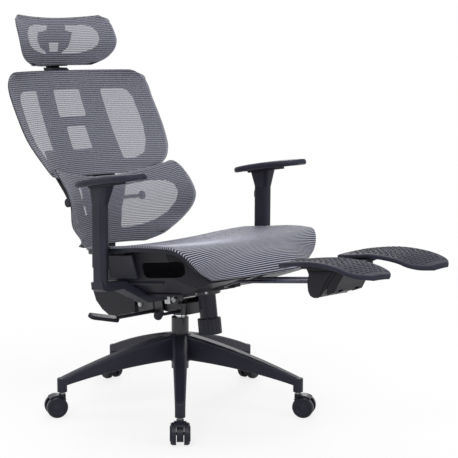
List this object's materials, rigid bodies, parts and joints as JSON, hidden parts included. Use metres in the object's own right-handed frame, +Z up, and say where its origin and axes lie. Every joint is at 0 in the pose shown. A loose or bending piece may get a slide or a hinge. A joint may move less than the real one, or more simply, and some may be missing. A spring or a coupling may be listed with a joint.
{
  "type": "reclining office chair with footrest",
  "caption": "High-back mesh task chair, reclined, with lumbar panel, headrest, adjustable arms, slide-out flip footrest and a caster star base.",
  "frame": {"origin": "on the floor under the gas column's axis", "axes": "+Z up, the sitter faces -Y, +X is the sitter's left"},
  "size_m": [0.7675, 1.4924, 1.1253],
  "materials": {
    "base_nylon": "moulded, faint grain",
    "tube_black": "satin black paint",
    "piston_steel": "polished",
    "steel_dark": "plain steel",
    "caster_nylon": "satin moulded",
    "wheel_nylon": "smooth moulded",
    "mech_black": "black paint",
    "bolt_steel": "bright heads",
    "knob_black": "fluted, satin",
    "lever_black": "satin",
    "mesh_grey": "open woven mesh with raised ribs",
    "frame_black": "satin moulded",
    "shell_black": "moulded, fine grain",
    "arm_black": "satin moulded",
    "pad_soft": "soft moulded polyurethane",
    "footpad_black": "soft pad with rows of short raised dashes",
    "rod_black": "satin black",
    "pin_steel": "plain steel"
  },
  "bodies": {
    "base": {"star_base": "base_nylon", "gas_tube": "tube_black"},
    "caster_1": {"caster_1_stem": "steel_dark", "caster_1_hood": "caster_nylon"},
    "wheels_1": {"caster_1_wheels": "wheel_nylon"},
    "caster_2": {"caster_2_stem": "steel_dark", "caster_2_hood": "caster_nylon"},
    "wheels_2": {"caster_2_wheels": "wheel_nylon"},
    "caster_3": {"caster_3_stem": "steel_dark", "caster_3_hood": "caster_nylon"},
    "wheels_3": {"caster_3_wheels": "wheel_nylon"},
    "caster_4": {"caster_4_stem": "steel_dark", "caster_4_hood": "caster_nylon"},
    "wheels_4": {"caster_4_wheels": "wheel_nylon"},
    "caster_5": {"caster_5_stem": "steel_dark", "caster_5_hood": "caster_nylon"},
    "wheels_5": {"caster_5_wheels": "wheel_nylon"},
    "column": {"gas_piston": "piston_steel"},
    "chassis": {"chassis": "mech_black"},
    "lift_lever": {"lift_lever": "lever_black"},
    "seat": {"seat_plate": "mech_black", "pivot_bolt_front": "bolt_steel", "pivot_bolt_rear": "bolt_steel", "spring_can": "mech_black", "seat_shell": "shell_black", "seat_frame": "frame_black", "seat_mesh": "mesh_grey", "rod_guide_left": "shell_black", "rod_guide_right": "shell_black", "arm_bracket_left": "arm_black", "arm_bracket_right": "arm_black"},
    "tension_knob": {"tension_knob": "knob_black"},
    "lock_lever": {"lock_lever": "lever_black"},
    "back": {"back_frame": "frame_black", "back_mesh": "mesh_grey", "back_bar": "shell_black"},
    "arm_right": {"arm_sleeve_right": "arm_black"},
    "arm_button_right": {"arm_button_right": "arm_black"},
    "arm_swivel_right": {"arm_carrier_right": "arm_black"},
    "arm_pad_right": {"arm_pad_right": "pad_soft"},
    "arm_left": {"arm_sleeve_left": "arm_black"},
    "arm_button_left": {"arm_button_left": "arm_black"},
    "arm_swivel_left": {"arm_carrier_left": "arm_black"},
    "arm_pad_left": {"arm_pad_left": "pad_soft"},
    "footrest": {"foot_rod_left": "rod_black", "foot_rod_right": "rod_black", "foot_housing": "shell_black"},
    "foot_pads": {"foot_bracket": "shell_black", "foot_pad_left": "footpad_black", "foot_pad_right": "footpad_black", "flip_pin": "pin_steel"},
    "lumbar_carriage": {"lumbar_yoke": "shell_black"},
    "lumbar": {"lumbar_frame": "frame_black", "lumbar_mesh": "mesh_grey"},
    "lumbar_knob_right": {"lumbar_knob_right": "knob_black"},
    "lumbar_knob_left": {"lumbar_knob_left": "knob_black"},
    "head_post": {"head_post": "shell_black"},
    "headrest": {"head_frame": "frame_black", "head_mesh": "mesh_grey"}
  },
  "joints": [
    {"name": "caster_1_swivel", "type": "hinge", "parent": "base", "child": "caster_1", "pos_m": [-0.22642, -0.26689, 0.07], "axis": [0, 0, 1], "continuous": true},
    {"name": "caster_1_roll", "type": "hinge", "parent": "caster_1", "child": "wheels_1", "pos_m": [-0.23807, -0.28062, 0.03], "axis": [0.7626, -0.6469, 0], "continuous": true},
    {"name": "caster_2_swivel", "type": "hinge", "parent": "base", "child": "caster_2", "pos_m": [0.18386, -0.29782, 0.07], "axis": [0, 0, 1], "continuous": true},
    {"name": "caster_2_roll", "type": "hinge", "parent": "caster_2", "child": "wheels_2", "pos_m": [0.19332, -0.31313, 0.03], "axis": [0.8509, 0.5253, 0], "continuous": true},
    {"name": "caster_3_swivel", "type": "hinge", "parent": "base", "child": "caster_3", "pos_m": [0.34006, 0.08283, 0.07], "axis": [0, 0, 1], "continuous": true},
    {"name": "caster_3_roll", "type": "hinge", "parent": "caster_3", "child": "wheels_3", "pos_m": [0.35755, 0.08709, 0.03], "axis": [-0.2367, 0.9716, 0], "continuous": true},
    {"name": "caster_4_swivel", "type": "hinge", "parent": "base", "child": "caster_4", "pos_m": [0.0263, 0.34901, 0.07], "axis": [0, 0, 1], "continuous": true},
    {"name": "caster_4_roll", "type": "hinge", "parent": "caster_4", "child": "wheels_4", "pos_m": [0.02766, 0.36696, 0.03], "axis": [-0.9972, 0.0752, 0], "continuous": true},
    {"name": "caster_5_swivel", "type": "hinge", "parent": "base", "child": "caster_5", "pos_m": [-0.3238, 0.13287, 0.07], "axis": [0, 0, 1], "continuous": true},
    {"name": "caster_5_roll", "type": "hinge", "parent": "caster_5", "child": "wheels_5", "pos_m": [-0.34045, 0.1397, 0.03], "axis": [-0.3796, -0.9251, 0], "continuous": true},
    {"name": "seat_height", "type": "slide", "parent": "base", "child": "column", "axis": [0, 0, 1], "range_m": [0, 0.09]},
    {"name": "seat_swivel", "type": "hinge", "parent": "column", "child": "chassis", "pos_m": [0, 0, 0.29], "axis": [0, 0, 1], "continuous": true},
    {"name": "lift_lever_pull", "type": "hinge", "parent": "chassis", "child": "lift_lever", "pos_m": [-0.025, -0.04, 0.2895], "axis": [0, 1, 0], "range_deg": [0, 5], "stiffness_Nm_per_rad": 2},
    {"name": "seat_tilt", "type": "hinge", "parent": "chassis", "child": "seat", "pos_m": [0, -0.035, 0.325], "axis": [-1, 0, 0], "range_deg": [-8.5, 4.8]},
    {"name": "tension_turn", "type": "hinge", "parent": "seat", "child": "tension_knob", "pos_m": [0, -0.12891, 0.25815], "axis": [0, 0.1478, 0.989], "continuous": true},
    {"name": "lock_lever_turn", "type": "hinge", "parent": "seat", "child": "lock_lever", "pos_m": [0, 0.05987, 0.27644], "axis": [1, 0, 0], "range_deg": [0, 30]},
    {"name": "back_recline", "type": "hinge", "parent": "seat", "child": "back", "pos_m": [0, 0.11806, 0.28696], "axis": [-1, 0, 0], "range_deg": [-10.6, 6]},
    {"name": "arm_right_height", "type": "slide", "parent": "seat", "child": "arm_right", "axis": [0, 0, 1], "range_m": [0, 0.07]},
    {"name": "arm_right_button", "type": "slide", "parent": "arm_right", "child": "arm_button_right", "axis": [0, -1, 0], "range_m": [0, 0.0025], "stiffness_N_per_m": 400},
    {"name": "arm_right_turn", "type": "hinge", "parent": "arm_right", "child": "arm_swivel_right", "pos_m": [-0.298, -0.02796, 0.66406], "axis": [0, 0.1685, 0.9857], "range_deg": [-25, 25]},
    {"name": "arm_right_reach", "type": "slide", "parent": "arm_swivel_right", "child": "arm_pad_right", "axis": [0, -0.9857, 0.1685], "range_m": [-0.03, 0.03]},
    {"name": "arm_left_height", "type": "slide", "parent": "seat", "child": "arm_left", "axis": [0, 0, 1], "range_m": [0, 0.07]},
    {"name": "arm_left_button", "type": "slide", "parent": "arm_left", "child": "arm_button_left", "axis": [0, -1, 0], "range_m": [0, 0.0025], "stiffness_N_per_m": 400},
    {"name": "arm_left_turn", "type": "hinge", "parent": "arm_left", "child": "arm_swivel_left", "pos_m": [0.298, -0.02796, 0.66406], "axis": [0, 0.1685, 0.9857], "range_deg": [-25, 25]},
    {"name": "arm_left_reach", "type": "slide", "parent": "arm_swivel_left", "child": "arm_pad_left", "axis": [0, -0.9857, 0.1685], "range_m": [-0.03, 0.03]},
    {"name": "footrest_slide", "type": "slide", "parent": "seat", "child": "footrest", "axis": [0, -0.989, 0.1478], "range_m": [-0.15, 0]},
    {"name": "footrest_flip", "type": "hinge", "parent": "footrest", "child": "foot_pads", "pos_m": [0, -0.581, 0.43997], "axis": [1, 0, 0], "range_deg": [0, 180]},
    {"name": "lumbar_height", "type": "slide", "parent": "back", "child": "lumbar_carriage", "axis": [0, 0.3322, 0.9432], "range_m": [-0.02, 0.02]},
    {"name": "lumbar_tilt", "type": "hinge", "parent": "lumbar_carriage", "child": "lumbar", "pos_m": [0, 0.35006, 0.56896], "axis": [1, 0, 0], "range_deg": [-8, 4]},
    {"name": "lumbar_knob_right_turn", "type": "hinge", "parent": "lumbar_carriage", "child": "lumbar_knob_right", "pos_m": [-0.14, 0.35006, 0.56896], "axis": [1, 0, 0], "continuous": true},
    {"name": "lumbar_knob_left_turn", "type": "hinge", "parent": "lumbar_carriage", "child": "lumbar_knob_left", "pos_m": [0.14, 0.35006, 0.56896], "axis": [1, 0, 0], "continuous": true},
    {"name": "headrest_height", "type": "slide", "parent": "back", "child": "head_post", "axis": [0, 0.4472, 0.8944], "range_m": [0, 0.04]},
    {"name": "headrest_tilt", "type": "hinge", "parent": "head_post", "child": "headrest", "pos_m": [0, 0.61506, 0.99196], "axis": [1, 0, 0], "range_deg": [-15, 15]}
  ],
  "couplings": [
    {"joint": "seat_tilt", "follows": "back_recline", "ratio": 0.8},
    {"joint": "footrest_flip", "follows": "footrest_slide", "rad_per_m": -20.94}
  ]
}
